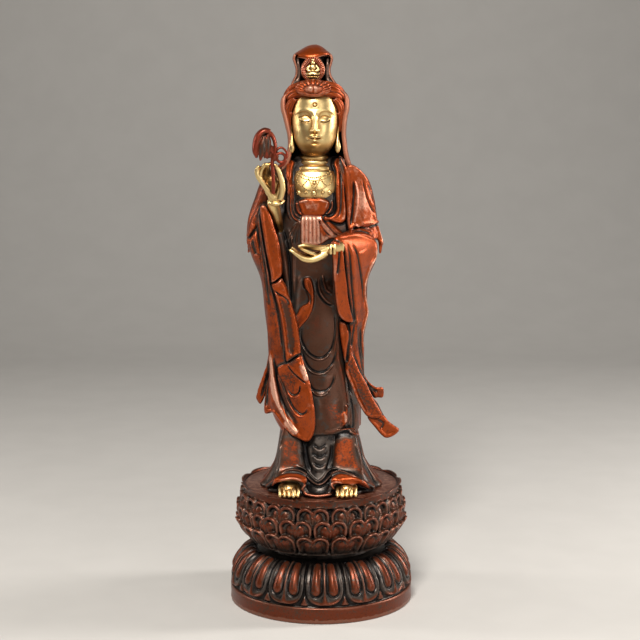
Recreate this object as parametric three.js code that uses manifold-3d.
// Standing figure in layered robes on a lotus pedestal, with a lotus sprig in the raised hand.
// Millimetres, +Z up, the front faces -Y, and the origin is in the middle of the pedestal's underside.
import * as THREE from "three";
import { mergeVertices } from "three/addons/utils/BufferGeometryUtils.js";
import Module from "manifold-3d";

const wasm = await Module();
wasm.setup();

// Driving dimensions
const FIGURE_HEIGHT = 247;
const SEAT_TOP = 67.5;
const SEAT_RADIUS = 46;
const BASE_RADIUS = 52;
const BAND_HEIGHT = 9.5;
const FOOT_HEIGHT = 30;
const FOOT_TOP_RADIUS = 36.5;
const WAIST_RADIUS = 29;
const BOWL_BOTTOM = 36;
const BOWL_BOTTOM_RADIUS = 40;
const BELLY = 2.2;
const ROW_PETALS = 15;
const FOOT_PETALS = 14;
const ROW_TURN = -6;
const PETAL_LIFT = 2.6;
const STEM_RADIUS = 1;
const CLEARANCE = 0.3;

// The figure is modelled in units of a 247th of its height, so its pose and carving are shares of that height.
const UNIT = FIGURE_HEIGHT / 247;

const TAU = Math.PI * 2;
const rad = THREE.MathUtils.degToRad;
const lerp = THREE.MathUtils.lerp;
const clamp = THREE.MathUtils.clamp;
const smooth = THREE.MathUtils.smoothstep;

// Closed solid from a geometry whose faces look outwards
function solid(geometry) {
  const bare = geometry.clone();
  bare.deleteAttribute("normal");
  bare.deleteAttribute("uv");
  const merged = mergeVertices(bare, 1e-4);
  return new wasm.Manifold(
    new wasm.Mesh({
      numProp: 3,
      vertProperties: merged.attributes.position.array,
      triVerts: new Uint32Array(merged.index.array),
    }),
  );
}

// Skin over rings of points that all turn counter-clockwise as seen from the last ring's side
function skin(rings) {
  const n = rings[0].length;
  const points = rings.flat();
  const faces = [];
  for (let r = 0; r + 1 < rings.length; r++)
    for (let i = 0; i < n; i++) {
      const a = r * n + i;
      const b = r * n + ((i + 1) % n);
      faces.push(a, b, b + n, a, b + n, a + n);
    }
  for (const [ring, turn] of [[0, 1], [rings.length - 1, 0]]) {
    const centre = points.length;
    const sum = rings[ring].reduce((s, p) => s.add(p), new THREE.Vector3());
    points.push(sum.divideScalar(n));
    for (let i = 0; i < n; i++) {
      const a = ring * n + i;
      const b = ring * n + ((i + 1) % n);
      faces.push(...(turn ? [b, a, centre] : [a, b, centre]));
    }
  }
  const g = new THREE.BufferGeometry().setFromPoints(points);
  g.setIndex(faces);
  return solid(g);
}

const union = (list) => list.reduce((whole, s) => whole.add(s));

// Stations are rows of numbers; this gives rows in between on a smooth curve, `steps` to a span.
function between(rows, steps) {
  const out = [];
  for (let i = 0; i + 1 < rows.length; i++)
    for (let k = 0; k < steps; k++) {
      const t = k / steps;
      const [p, a, b, q] = [rows[Math.max(i - 1, 0)], rows[i], rows[i + 1], rows[Math.min(i + 2, rows.length - 1)]];
      out.push(a.map((v, j) => {
        const m = (b[j] - p[j]) / 2;
        const n = (q[j] - v) / 2;
        return v + t * (m + t * (3 * (b[j] - v) - 2 * m - n + t * (2 * (v - b[j]) + m + n)));
      }));
    }
  out.push(rows.at(-1));
  return out;
}

const power = (v, e) => Math.sign(v) * Math.abs(v) ** e;

// Upright form from level sections. Each row is [z, centre x, half width, front y, back y].
// `fold(angle, z)` gives the share by which a section swells at an angle, 0 at the front and growing to +X.
function upright(rows, { sides = 24, steps = 1, square = 2.3, fold = () => 0 } = {}) {
  return skin(between(rows, steps).map(([z, cx, a, front, back]) =>
    Array.from({ length: sides }, (_, i) => {
      const angle = (i / sides) * TAU;
      const grow = 1 + fold(angle, z);
      const cy = (front + back) / 2;
      const b = (back - front) / 2;
      return new THREE.Vector3(
        cx + a * grow * power(Math.sin(angle), 2 / square),
        cy - b * grow * power(Math.cos(angle), 2 / square),
        z,
      );
    }),
  ));
}

// Strip of cloth, finger or rib along a path. Each row is [x, y, z, half width, half thickness]; `face` is the
// direction that the flat side looks in.
function strip(rows, { sides = 5, steps = 1, face = [0, -1, 0] } = {}) {
  const path = between(rows, steps);
  const at = (row) => new THREE.Vector3(row[0], row[1], row[2]);
  return skin(path.map((row, i) => {
    const before = at(path[Math.max(i - 1, 0)]);
    const after = at(path[Math.min(i + 1, path.length - 1)]);
    const along = after.sub(before).normalize();
    const wide = along.clone().cross(new THREE.Vector3(...face)).normalize();
    const out = wide.clone().cross(along).normalize();
    return Array.from({ length: sides }, (_, k) => {
      const angle = ((k + 0.5) / sides) * TAU;
      return at(row)
        .addScaledVector(wide, Math.cos(angle) * row[3])
        .addScaledVector(out, -Math.sin(angle) * row[4]);
    });
  }));
}

const ball = (x, y, z, a, b, c, sides = 8, rows = 6) =>
  solid(new THREE.SphereGeometry(1, sides, rows).rotateX(Math.PI / 2).scale(a, b, c).translate(x, y, z));

// Front of the robe at a place on the figure, from the same rows as the robe itself
const ROBE = [
  [32.6, -0.8, 22.6, -20.5, 20.6],
  [37, -1, 23, -21, 20.8],
  [60, -2, 24, -20.5, 19.6],
  [82, -2.8, 25.2, -20, 19.2],
  [100, -3.2, 25.8, -19.6, 19],
  [117, -3.4, 27, -19, 18],
  [135, -3.5, 29, -18, 16.6],
  [150, -3.6, 29, -17.8, 16],
  [168, -3.6, 27.4, -17, 16],
  [176, -3.6, 24, -14.5, 15.4],
  [181.6, -3.6, 18.6, -11.5, 14.2],
  [186, -3.4, 12.5, -9.5, 11],
];

function front(x, z, lift = 0) {
  const i = clamp(ROBE.findIndex((row) => row[0] > z), 1, ROBE.length - 1);
  const [lo, hi] = [ROBE[i - 1], ROBE[i]];
  const t = clamp((z - lo[0]) / (hi[0] - lo[0]), 0, 1);
  const [, cx, a, f, b] = lo.map((v, j) => lerp(v, hi[j], t));
  const side = clamp(Math.abs(x - cx) / a, 0, 0.98);
  return (f + b) / 2 - ((b - f) / 2) * (1 - side ** 2.3) ** (1 / 2.3) - lift;
}

// Rib or strip laid on the robe's front. Each row is [x, z, half width, half thickness, lift].
const laid = (rows, options) =>
  strip(rows.map(([x, z, w, t, lift = 0]) => [x, front(x, z, lift), z, w, t]), options);
const ridge = (points, w = 1, t = 1.1) =>
  laid(points.map(([x, z]) => [x, z, w, t, 0.2]), { sides: 4 });

// Robe, underskirt and feet
function robe() {
  const folds = (angle, z) => (Math.cos(angle) > 0.2 ? 0 : 0.05 * Math.cos(11 * angle) * smooth(172 - z, 0, 90));
  return union([
    upright(ROBE, { sides: 26, fold: folds }),
    upright([
      [0, 0, 33.5, -35, 27],
      [1.6, 0, 33.5, -35, 27],
      [5, 0, 30.5, -32.5, 26],
      [14, -0.5, 25.5, -28, 23.5],
      [25, -0.8, 23.2, -24.5, 21],
      [37, -1.5, 21, -19, 18],
    ], { sides: 26, fold: (angle, z) => 0.035 * Math.cos(13 * angle) * smooth(37 - z, 0, 37) }),
    ...[-17.2, 14.6].map((x) =>
      strip([[x * 0.92, -19, 33, 4.6, 3.4], [x, -26, 20, 6.4, 3.4], [x, -32, 12, 8.2, 2.8], [x, -35.4, 9.4, 8.4, 1.6]])),
  ]);
}

// Wavy hem that rises over each foot and dips between the two
function hem() {
  const wave = [
    [-30, 2.5], [-25.5, 6.5], [-19.4, 10.5], [-12.4, 9], [-9.6, 5.5], [-6.5, 1.6], [-1.8, 0.9],
    [3, 1.6], [5.6, 5.5], [11, 9.6], [18, 9.5], [24.5, 6], [29, 2.5],
  ];
  return strip(wave.map(([x, z]) => [x, -36.5 * Math.sqrt(1 - (x / 38) ** 2) + 0.12 * z, z, 1.2, 1.5]), { sides: 4 });
}

function foot(x) {
  const toes = Array.from({ length: 5 }, (_, i) =>
    ball(x + (i - 2) * 2.3, -36 + 0.35 * Math.abs(i - 2), 2.6, 1.3, 2.6, 2.5, 5, 3));
  return union([ball(x, -30, 3.6, 6.2, 7, 4.4, 7, 4), ...toes]);
}

// Raised arm on the figure's right: upper arm, forearm and the long sleeve that falls in stepped folds
function raisedSleeve() {
  return union([
    strip([[-16, 1, 177.5, 5, 7], [-25, 0, 171, 7.5, 8.5], [-30, -3, 160, 7.5, 8.5], [-33.5, -5, 149, 7.5, 8],
      [-35.5, -8, 138, 6, 8]], { sides: 7 }),
    strip([[-36, -9, 136, 5, 6], [-34, -17, 149, 4.6, 5.4], [-30.5, -23, 158, 4, 4]], { sides: 6 }),
    upright([
      [34, -16.5, 6, -24, -8],
      [44, -19.5, 8.5, -25, -2],
      [60, -20.5, 9, -25, 2],
      [82, -21.5, 8.2, -24, 4],
      [100, -25, 7, -24, 5],
      [118, -28, 6.2, -25, 6],
      [131, -32, 8.5, -25, 5],
      [139, -34, 7.8, -25, 4],
      [151, -33.5, 4.5, -25, -4],
      [159, -31.5, 3, -26, -16],
    ], { sides: 12, square: 2.6 }),
    strip([[-31, -25, 158, 3, 3], [-27.8, -26, 143, 3.3, 3.4], [-25.2, -26, 131, 3.4, 3.4],
      [-24.7, -26, 124, 2.9, 3], [-25.8, -25, 118.7, 1.2, 1.4]], { sides: 6 }),
    strip([[-24, -23, 121, 3.4, 2.5], [-21.5, -23.5, 110, 4.4, 3], [-18.4, -23.5, 98, 3.7, 3],
      [-16.5, -23.5, 87, 3.8, 3], [-15.4, -23.5, 79, 3.6, 2.8], [-16.6, -23, 74, 1.8, 1.6]], { sides: 6 }),
    strip([[-15, -23, 80, 3.4, 2.4], [-13, -24.5, 64, 6.4, 3.2], [-11.8, -25, 52, 7.6, 3.4],
      [-11.5, -25.5, 41, 7.8, 3.2], [-9, -25.5, 34, 5.4, 2.6], [-7, -25, 30, 1.8, 1.2]], { sides: 6 }),
    strip([[-27, -12, 76, 1.6, 2], [-26.8, -17, 62, 2, 2.4], [-22.6, -21, 48, 2, 2.6], [-16, -24, 36, 2, 2.2],
      [-10, -25, 31.5, 1.4, 1.6]]),
    strip([[-27, -4, 82, 2.2, 3], [-30, -5, 66, 3, 3.4], [-33, -6, 54, 3.2, 2.8], [-34.5, -6, 47, 1.9, 1.5]]),
    strip([[-25.5, -10, 74, 2.6, 4], [-27, -11, 60, 4.2, 4], [-26.8, -12, 50, 4.8, 3.4], [-27.4, -12, 42.5, 3.4, 2]]),
  ]);
}

// Lowered arm on the figure's left: cape, forearm across the body, hanging lobes of sleeve and trailing ribbons
function loweredSleeve() {
  const lobes = [
    [9.6, -33, 139, 3.3, 9.6, -29, 112, 3.2, 14.2, -24, 99.5],
    [14.4, -28, 141, 3, 15.6, -25, 112, 3, 17.6, -22, 98.5],
    [19, -22.5, 142, 3.2, 19, -20, 114, 3, 20.6, -18.5, 92],
    [24, -16, 142, 3.6, 21.8, -14, 116, 3.2, 21.8, -13, 86],
    [28.4, -9.5, 141, 4, 22.6, -7, 115, 3.6, 21.4, -7, 84],
  ];
  return union([
    strip([[9, 1, 178, 5, 7], [18.5, 0, 171, 7.5, 8.5], [22.5, -1.5, 161, 7.5, 8.5], [24.6, -4, 150, 7.4, 8],
      [27, -6, 139, 6.4, 7]], { sides: 7 }),
    strip([[28.4, -6, 139.5, 5, 5.4], [20, -19, 140, 5, 5.2], [12, -30, 139.6, 4.4, 4.4], [7.4, -35.5, 138.6, 3, 2.8]],
      { sides: 6, face: [0, 0, 1] }),
    ...lobes.map(([x0, y0, z0, w0, x1, y1, z1, w1, x2, y2, z2]) =>
      strip([[x0, y0, z0, w0 * 0.8, 2.6], [x0 - 0.2, y0 + 0.3, (z0 + z1) / 2 + 4, w0, 3.6], [x1, y1, z1, w1, 3.6],
        [x2, y2, z2, 1.7, 2]])),
    upright([[78, 12, 9, -16, 8], [96, 12, 10.5, -19, 8], [118, 14, 10.5, -24, 8], [138, 18, 12, -24, 6],
      [143, 19, 9, -20, 4]], { sides: 12 }),
    strip([[13, -18.5, 96, 2.6, 2], [13.8, -19, 82, 2, 2], [15, -20, 73, 2, 2], [19, -20.5, 63, 3, 2],
      [24.5, -20, 53, 3.4, 1.8], [29.5, -19.5, 44.5, 3.6, 1.5]]),
    strip([[20, -13, 90, 3, 3], [21, -15, 74, 3, 3], [27, -17, 56, 3.4, 2.4], [34, -18, 43, 4, 1.8],
      [39.5, -18, 33, 3.6, 1.3]]),
    strip([[22, -3, 72, 2, 3], [27, -2, 58, 3, 2.6], [31.5, -1.5, 52.5, 3.4, 1.8], [34, -1, 51, 2.6, 1.2]]),
    strip([[11.8, -17.5, 92, 1.6, 2], [12.6, -17.6, 72, 2, 2.4], [15.5, -17.5, 54, 3, 3], [18, -17, 42, 4, 3.4],
      [19, -15.5, 33, 4.6, 3]]),
  ]);
}

// Cape hem, mantle edges, collar bands, chest cloth, knot and its pleats
function chest() {
  return union([
    laid([[21, 176, 5, 1.4], [22.5, 165, 6, 1.6], [24, 156, 7, 1.8], [24, 148.6, 7, 1.5]]),
    laid([[13.6, 182, 1.3, 1.6], [13.4, 170, 1.4, 1.8], [14.4, 156, 1.5, 1.8], [15.6, 146, 1.5, 1.6]]),
    ridge([[8.2, 181], [8.9, 170], [8.7, 160], [6.8, 155], [3, 152.6]], 1.4, 1.5),
    ridge([[11.4, 180], [12, 168], [11.6, 158.6], [8.6, 152.6], [3.4, 150]], 1, 1.3),
    ridge([[-15.3, 176], [-16.4, 166], [-16.2, 159.6], [-14, 154.6], [-9.4, 152]], 1, 1.3),
    ridge([[-18.6, 176], [-19.6, 164], [-18.8, 156], [-15, 151], [-9, 149.4]], 1.2, 1.4),
    laid([[-22.5, 172, 2, 1.6], [-23.4, 158, 2.2, 1.6], [-22.4, 142, 2.4, 1.6], [-19, 124, 2.4, 1.6],
      [-17, 106, 2, 1.2]], { sides: 4 }),
    laid([[-4.2, 165, 4, 0.9], [-4.3, 160, 7.4, 1.3], [-4.4, 155.4, 5, 1.2]]),
    ball(-4.4, front(-4.4, 154.6, 0.6), 154.6, 5.2, 2, 2, 8, 4),
    ...Array.from({ length: 5 }, (_, i) =>
      ridge([[-4.4 + (i - 2) * 1.6, 154], [-4.8 + (i - 2) * 2.2, 146], [-5.5 + (i - 2) * 2.8, 138]], 0.9, 1.3)),
    ridge([[-0.6, 154], [2.6, 150.4], [7.4, 145.4]], 1.3, 1.3),
    ridge([[0.6, 154.6], [5.4, 151], [11, 147.4]], 1.2, 1.2),
    ball(-4, front(-4, 173, -3.4), 173, 11, 5.4, 8, 10, 6),
  ]);
}

// Skirt front: crossed sash, loop and the hanging folds, one below the other
function skirt() {
  const hang = (x, low, half, rise) =>
    ridge([-1, -0.7, 0, 0.7, 1].map((s) => [x + s * half, low + rise * Math.abs(s) ** 2.2]), 0.9, 1.2);
  return union([
    laid([[-6.6, 122, 2.6, 1.4], [-5.8, 112, 2.6, 1.4], [-8, 101, 3, 1.4], [-11.4, 93, 0.9, 0.8]]),
    ridge([[-3.4, 121], [-2.4, 113.4], [1.1, 107.4], [7, 105]]),
    ridge([[2.1, 119], [4.6, 113.4], [9, 112]], 0.8, 1),
    hang(-1.3, 76.6, 8.4, 12),
    hang(-0.8, 67.6, 8.6, 14),
    hang(-0.6, 56.8, 8.4, 14),
    laid([[-0.2, 44, 12, 0.7], [3.6, 36.4, 12.6, 1.8], [4, 33.4, 11.4, 1.4]]),
  ]);
}

// Hand seen from its palm: `wrist` to `tips` is its length, the fingers close round to meet the thumb.
function hand(rows) {
  return union(rows.map((row) => strip(row, { sides: 5 })));
}

function raisedHand() {
  return union([
    ball(-26.6, -27.4, 171.5, 4.4, 2.4, 6.4, 8, 6),
    hand([
      [[-31, -23.5, 157, 3, 3], [-27, -26.5, 163.5, 2.6, 2.4], [-26, -27.5, 168, 3.4, 2.4]],
      [[-26.6, -28, 166.4, 1.6, 1.6], [-31.4, -29, 173.4, 1.5, 1.6], [-34.2, -30, 178, 1.3, 1.3],
        [-33.4, -30, 183, 0.9, 0.9]],
      [[-24, -28, 166, 1.8, 1.6], [-21.8, -29.5, 173.6, 1.5, 1.6], [-22.4, -31, 179, 1.3, 1.4],
        [-24.8, -32, 184, 0.9, 0.9]],
      [[-32.4, -28, 174, 1.2, 1.4], [-32.2, -30, 180, 1.2, 1.4], [-29.6, -31.6, 183.6, 1.1, 1.2],
        [-27.6, -32.2, 183.4, 0.9, 0.9]],
    ]),
  ]);
}

function loweredHand() {
  return union([
    ball(-4.6, -38.2, 136.2, 8.6, 2.4, 3, 8, 6),
    hand([
      [[9, -35, 139, 2.8, 2.8], [4, -38, 138.4, 2.4, 2.2], [0, -39, 137.4, 2.8, 2.2]],
      [[3.4, -39, 139.4, 1.4, 1.5], [-2.6, -40.4, 139.4, 1.4, 1.5], [-9, -41.4, 140.8, 1.2, 1.3],
        [-13.6, -42, 140, 0.8, 0.8]],
      [[2.6, -39, 136.6, 1.5, 1.5], [-4, -41, 133.2, 1.4, 1.5], [-9.6, -42, 133.8, 1.3, 1.4],
        [-13.6, -42.4, 136.6, 1.1, 1.1], [-16.8, -42, 138, 0.7, 0.7]],
      [[-1, -40, 136.4, 1, 1.1], [-6, -42.6, 137, 1.1, 1.2], [-10.6, -42.6, 138.6, 0.8, 0.8]],
    ]),
  ]);
}

// Head: face, neck with its rings, ears, parted hair, topknot, shell ornament and almond-shaped plaque
function head() {
  const bands = [-1, 1].flatMap((s) => [
    strip([[-4 + s * 2, -17.6, 222.4, 1.6, 1.8], [-4 + s * 7, -16, 221, 2.6, 2.2], [-4 + s * 11.6, -11.6, 216, 2.4, 2.2],
      [-4 + s * 13.2, -8, 210, 1.8, 1.8]]),
    strip([[-4 + s * 12.6, -9, 212, 2, 2], [-4 + s * 13.6, -8.6, 207, 2, 2], [-4 + s * 13.4, -8, 202.6, 1.2, 1.4]]),
    strip([[-4 + s * 13, -7.5, 203, 1.4, 2], [-4 + s * 12.8, -8.5, 196, 1.3, 1.5], [-4 + s * 12.8, -9, 190.4, 0.8, 0.9]]),
  ]);
  return union([
    upright([
      [188.6, -3.7, 3.4, -16, -6],
      [190.6, -3.7, 7.4, -17.6, -2],
      [195, -3.8, 10.4, -18.6, 2],
      [202, -3.9, 12.3, -18.8, 6],
      [210, -4, 12.7, -18.6, 8],
      [217, -4, 12, -17.8, 8],
      [222, -4, 9.4, -15.6, 7],
      [225, -4, 4.6, -11, 5],
    ], { sides: 14, square: 2.1 }),
    strip([[-4, -18.2, 209.6, 0.8, 1], [-4, -19.8, 203.6, 1.1, 1.6], [-4, -20.8, 200.6, 1.9, 1.5], [-4, -19, 199.4, 1.4, 0.8]]),
    ball(-4, -18.8, 196.6, 3, 1.2, 1.2, 8, 4),
    ball(-3.8, -17.6, 191, 4, 2, 2.4, 8, 4),
    upright([[178, -3.4, 9, -12.5, 7], [182, -3.2, 7.8, -12.5, 5], [192, -3.6, 7.2, -12, 5]], { sides: 10, square: 2 }),
    ...[181.8, 185.6].map((z) =>
      upright([[z - 1, -3.3, 7.2, -12, 4], [z, -3.3, 8.1, -13, 5], [z + 1, -3.3, 7.2, -12, 4]], { sides: 10, square: 2 })),
    ...bands,
    ball(-4.6, -14.6, 224, 7.6, 3.4, 3.8, 10, 5),
    upright([[219, -4.4, 8.6, -12, 8], [230, -4.4, 7, -9.5, 8], [240.6, -4.4, 6.6, -9.5, 8]], { sides: 10 }),
    strip([[-4.5, -11, 227.6, 3.4, 1.4], [-4.5, -11.4, 232.4, 6, 1.4], [-4.5, -11.6, 237, 4.2, 1.4],
      [-4.5, -11.6, 241, 0.9, 1]]),
    ball(-4.5, -12.6, 230.6, 3.6, 1.3, 1.8, 6, 4),
    ball(-4.5, -12.6, 234, 2, 1.3, 2.2, 6, 4),
    ball(-4.5, -12.8, 237.6, 1.1, 1, 1.3, 5, 3),
  ]);
}

// Veil over the topknot and shoulders, open at the front
function veil() {
  const outer = [
    [174, -3.4, 21, -7, 14.4],
    [186, -1.6, 17.8, -10, 15],
    [190, -1.8, 17, -10.5, 15.4],
    [198, -2.3, 16, -11, 16],
    [204, -2.9, 16.8, -11.4, 16.4],
    [211, -3.4, 19.2, -11.4, 16],
    [217.5, -3.5, 18.8, -11, 15],
    [222.6, -3.6, 14.6, -11, 13.6],
    [227.5, -4.3, 10.8, -11, 12.2],
    [233, -4.4, 9.3, -11, 11],
    [239.6, -4.4, 10.4, -12.6, 10.4],
    [242.4, -4.5, 9.4, -12.2, 9.6],
    [245.4, -4.6, 6, -8.6, 6.6],
    [247, -4.6, 1.6, -2.6, 1.6],
  ];
  const wall = 2;
  const cavity = outer.slice(0, 11).map(([z, cx, a, , back], i) => [
    i === 0 ? z - 2 : z + (i === 10 ? 0.8 : 0),
    cx,
    a - wall,
    -34,
    back - 2 * wall,
  ]);
  return upright(outer, { sides: 18, square: 2.5 })
    .subtract(upright(cavity, { sides: 12, square: 4 }));
}

// Sprig through the closed fingers: stem, flower with its petals, and the curled bud beside it
const STEM = [
  [-25.6, -31.6, 168.5],
  [-25.8, -32.4, 177],
  [-26.6, -33, 184],
  [-25.6, -33, 190],
];

const stem = (radius) => strip(STEM.map(([x, y, z]) => [x, y, z, radius, radius]), { sides: 6 });

function sprig() {
  const petals = [
    [[-25.4, -33, 187.4, 0.9, 1.4], [-24.6, -33, 193.6, 1.4, 2.2], [-27, -33, 200, 1.5, 2.4], [-30.6, -33, 202.2, 1, 1.8]],
    [[-27.4, -33, 201.2, 1.6, 2.4], [-32, -33, 200, 2.4, 3], [-35, -33, 193.8, 2, 2.8], [-34.8, -33, 188.2, 0.9, 1.6]],
    [[-29, -33.4, 198.6, 0.9, 1.4], [-30.4, -34, 193.6, 2.1, 2], [-31.6, -34, 189.4, 0.9, 1]],
    [[-25.8, -33, 188.6, 0.8, 1], [-28.4, -33, 190, 1.2, 1.4], [-28.8, -33, 194.4, 0.9, 1.1]],
  ];
  const curl = Array.from({ length: 9 }, (_, i) => {
    const angle = rad(200 - i * 38);
    return [-21.9 + 2.6 * Math.cos(angle), -33, 187.4 + 2.7 * Math.sin(angle), 0.6, 0.9];
  });
  return union([stem(STEM_RADIUS), ...petals.map((p) => strip(p, { sides: 6 })), strip(curl, { sides: 4 })]);
}

// Wall of the bowl behind the petals, with a slight belly
function bowlRadius(z) {
  const rise = clamp((z - BOWL_BOTTOM) / (SEAT_TOP - BOWL_BOTTOM), 0, 1);
  const wall = lerp(BOWL_BOTTOM_RADIUS, SEAT_RADIUS - PETAL_LIFT, smooth(rise, -0.1, 0.45));
  return wall + BELLY * Math.sin(Math.PI * rise) ** 2;
}

// One petal across its width, as shares of the petal's height and of its lift: the gap beside it, the outer flank
// of a lobe, the lobe's top, then the notch between the two lobes.
const LOBES = [
  { drop: 0.5, swell: 0.3, well: 0.1 },
  { drop: 0.12, swell: 0.9, well: 0.6 },
  { drop: 0, swell: 1, well: 0.35 },
  { drop: 0.16, swell: 0.9, well: 0.8 },
  { drop: 0, swell: 1, well: 0.35 },
  { drop: 0.12, swell: 0.9, well: 0.6 },
];

// Foot of the pedestal: twin-barred petals that lie outwards and down over the plinth band
function lotusFoot() {
  const bar = [-1.5, 0.2, 0.9, -0.5, 0.9, 0.2];
  const sides = FOOT_PETALS * bar.length;
  const twist = rad(2.3) - Math.PI / FOOT_PETALS;
  const ring = (r, z, carve) => Array.from({ length: sides }, (_, i) => {
    const angle = twist + (i / sides) * TAU;
    const out = r + carve * bar[i % bar.length];
    return new THREE.Vector3(out * Math.sin(angle), -out * Math.cos(angle), z);
  });
  const slope = [0, 22, 50, 74, 90].map((turn) => ring(
    lerp(FOOT_TOP_RADIUS, BASE_RADIUS - 1, Math.cos(rad(turn))),
    lerp(BAND_HEIGHT, FOOT_HEIGHT, Math.sin(rad(turn))),
    turn > 0 && turn < 90 ? 1 : 0,
  ));
  return skin([ring(BASE_RADIUS, 0, 0), ring(BASE_RADIUS, BAND_HEIGHT - 0.6, 0), ...slope]);
}

// Upper lotus: three rows of petals, each turned half a petal from the row below, then the rim and the seat
function lotusSeat() {
  const height = SEAT_TOP - BOWL_BOTTOM;
  const rows = [
    { low: BOWL_BOTTOM, high: BOWL_BOTTOM + 0.36 * height, shift: 0 },
    { low: BOWL_BOTTOM + 0.2 * height, high: BOWL_BOTTOM + 0.68 * height, shift: 3 },
    { low: BOWL_BOTTOM + 0.52 * height, high: SEAT_TOP - 1.4, shift: 0 },
  ];
  const turn = rad(ROW_TURN) - Math.PI / ROW_PETALS;
  const ring = (place) => Array.from({ length: LOBES.length * ROW_PETALS }, (_, i) => {
    const { r, z } = place(i);
    const angle = turn + (i / (LOBES.length * ROW_PETALS)) * TAU;
    return new THREE.Vector3(r * Math.sin(angle), -r * Math.cos(angle), z);
  });
  const lobe = (row, i) => LOBES[(i + row.shift) % LOBES.length];
  const top = (row, i) => row.high - lobe(row, i).drop * (row.high - row.low);
  const petals = rows.flatMap((row, k) => [
    ring((i) => {
      const z = lerp(k ? top(rows[k - 1], i) : row.low, top(row, i), 0.5);
      return { r: bowlRadius(z) + lobe(row, i).well * PETAL_LIFT, z };
    }),
    ring((i) => ({ r: bowlRadius(top(row, i)) + lobe(row, i).swell * PETAL_LIFT, z: top(row, i) })),
    ring((i) => ({ r: bowlRadius(top(row, i)) - 0.3, z: top(row, i) - 0.4 })),
  ]);
  const rim = SEAT_RADIUS - PETAL_LIFT;
  return skin([
    ring(() => ({ r: WAIST_RADIUS - 2, z: BOWL_BOTTOM - 2 })),
    ring(() => ({ r: BOWL_BOTTOM_RADIUS, z: BOWL_BOTTOM - 0.5 })),
    ...petals,
    ring((i) => ({ r: rim + 1.8 * (1 - lobe(rows[1], i).drop), z: SEAT_TOP + 1.4 * (1 - lobe(rows[1], i).drop) })),
    ring(() => ({ r: rim - 1.2, z: SEAT_TOP })),
  ]);
}

function pedestal() {
  const waist = new THREE.CylinderGeometry(WAIST_RADIUS, WAIST_RADIUS, BOWL_BOTTOM - FOOT_HEIGHT + 4, 32, 1)
    .rotateX(Math.PI / 2)
    .translate(0, 0, (FOOT_HEIGHT + BOWL_BOTTOM) / 2);
  return union([lotusFoot(), solid(waist), lotusSeat()]);
}

// Parts, each with its own finish
const finish = (color, roughness, metalness) => new THREE.MeshStandardMaterial({ color, roughness, metalness });

function mesh(name, shape, material) {
  const made = shape.getMesh();
  const g = new THREE.BufferGeometry();
  g.setAttribute("position", new THREE.BufferAttribute(new Float32Array(made.vertProperties), 3));
  g.setIndex(new THREE.BufferAttribute(new Uint32Array(made.triVerts), 1));
  const m = new THREE.Mesh(g, material);
  m.name = name;
  return m;
}

const body = union([
  robe(), hem(), foot(-17.6), foot(14), raisedSleeve(), loweredSleeve(), chest(), skirt(),
  raisedHand(), loweredHand(), head(), veil(),
])
  .subtract(stem(STEM_RADIUS + CLEARANCE / UNIT))
  .subtract(solid(new THREE.BoxGeometry(120, 120, 20).translate(0, 0, -10)));

const group = new THREE.Group();
const stand = mesh("lotus_pedestal", pedestal(), finish(0x6b2a16, 0.42, 0.7));
const statue = mesh("figure", body, finish(0xa3401c, 0.38, 0.7));
const flower = mesh("lotus_sprig", sprig(), finish(0xb5502c, 0.4, 0.7));
for (const m of [statue, flower]) {
  m.position.z = SEAT_TOP + CLEARANCE;
  m.scale.setScalar(UNIT);
}
group.add(stand, statue, flower);

export default group;
